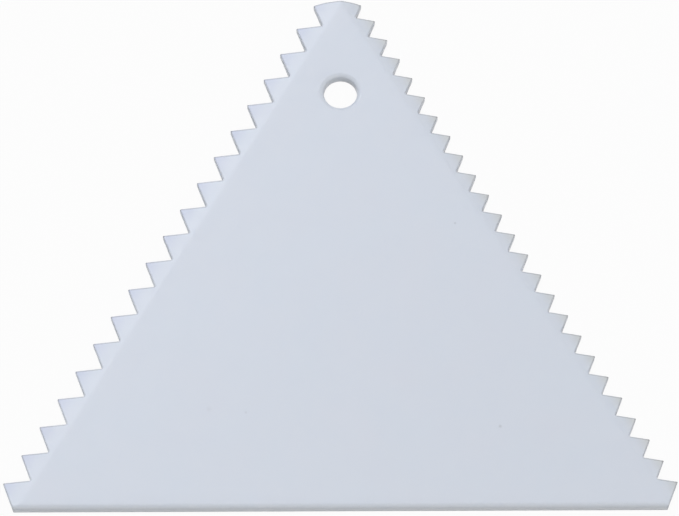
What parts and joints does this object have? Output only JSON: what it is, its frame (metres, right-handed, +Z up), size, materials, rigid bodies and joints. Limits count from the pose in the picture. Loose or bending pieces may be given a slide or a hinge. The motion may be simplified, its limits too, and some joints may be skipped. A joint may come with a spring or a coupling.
{
  "type": "cake comb",
  "caption": "Flat triangular plastic cake comb with bevelled coarse and fine toothed sides, a straight smoothing edge and a hanging hole.",
  "frame": {"origin": "middle of the bounding box, on the flat underside that the comb rests on", "axes": "+X along the straight edge towards the fine-toothed side, +Y from the straight edge towards the apex, +Z up out of the bevelled upper face"},
  "size_m": [0.1098, 0.092, 0.002],
  "materials": {
    "white_plastic": "satin moulded plastic, cool white"
  },
  "bodies": {
    "root": {"comb_plate": "white_plastic"}
  },
  "joints": []
}
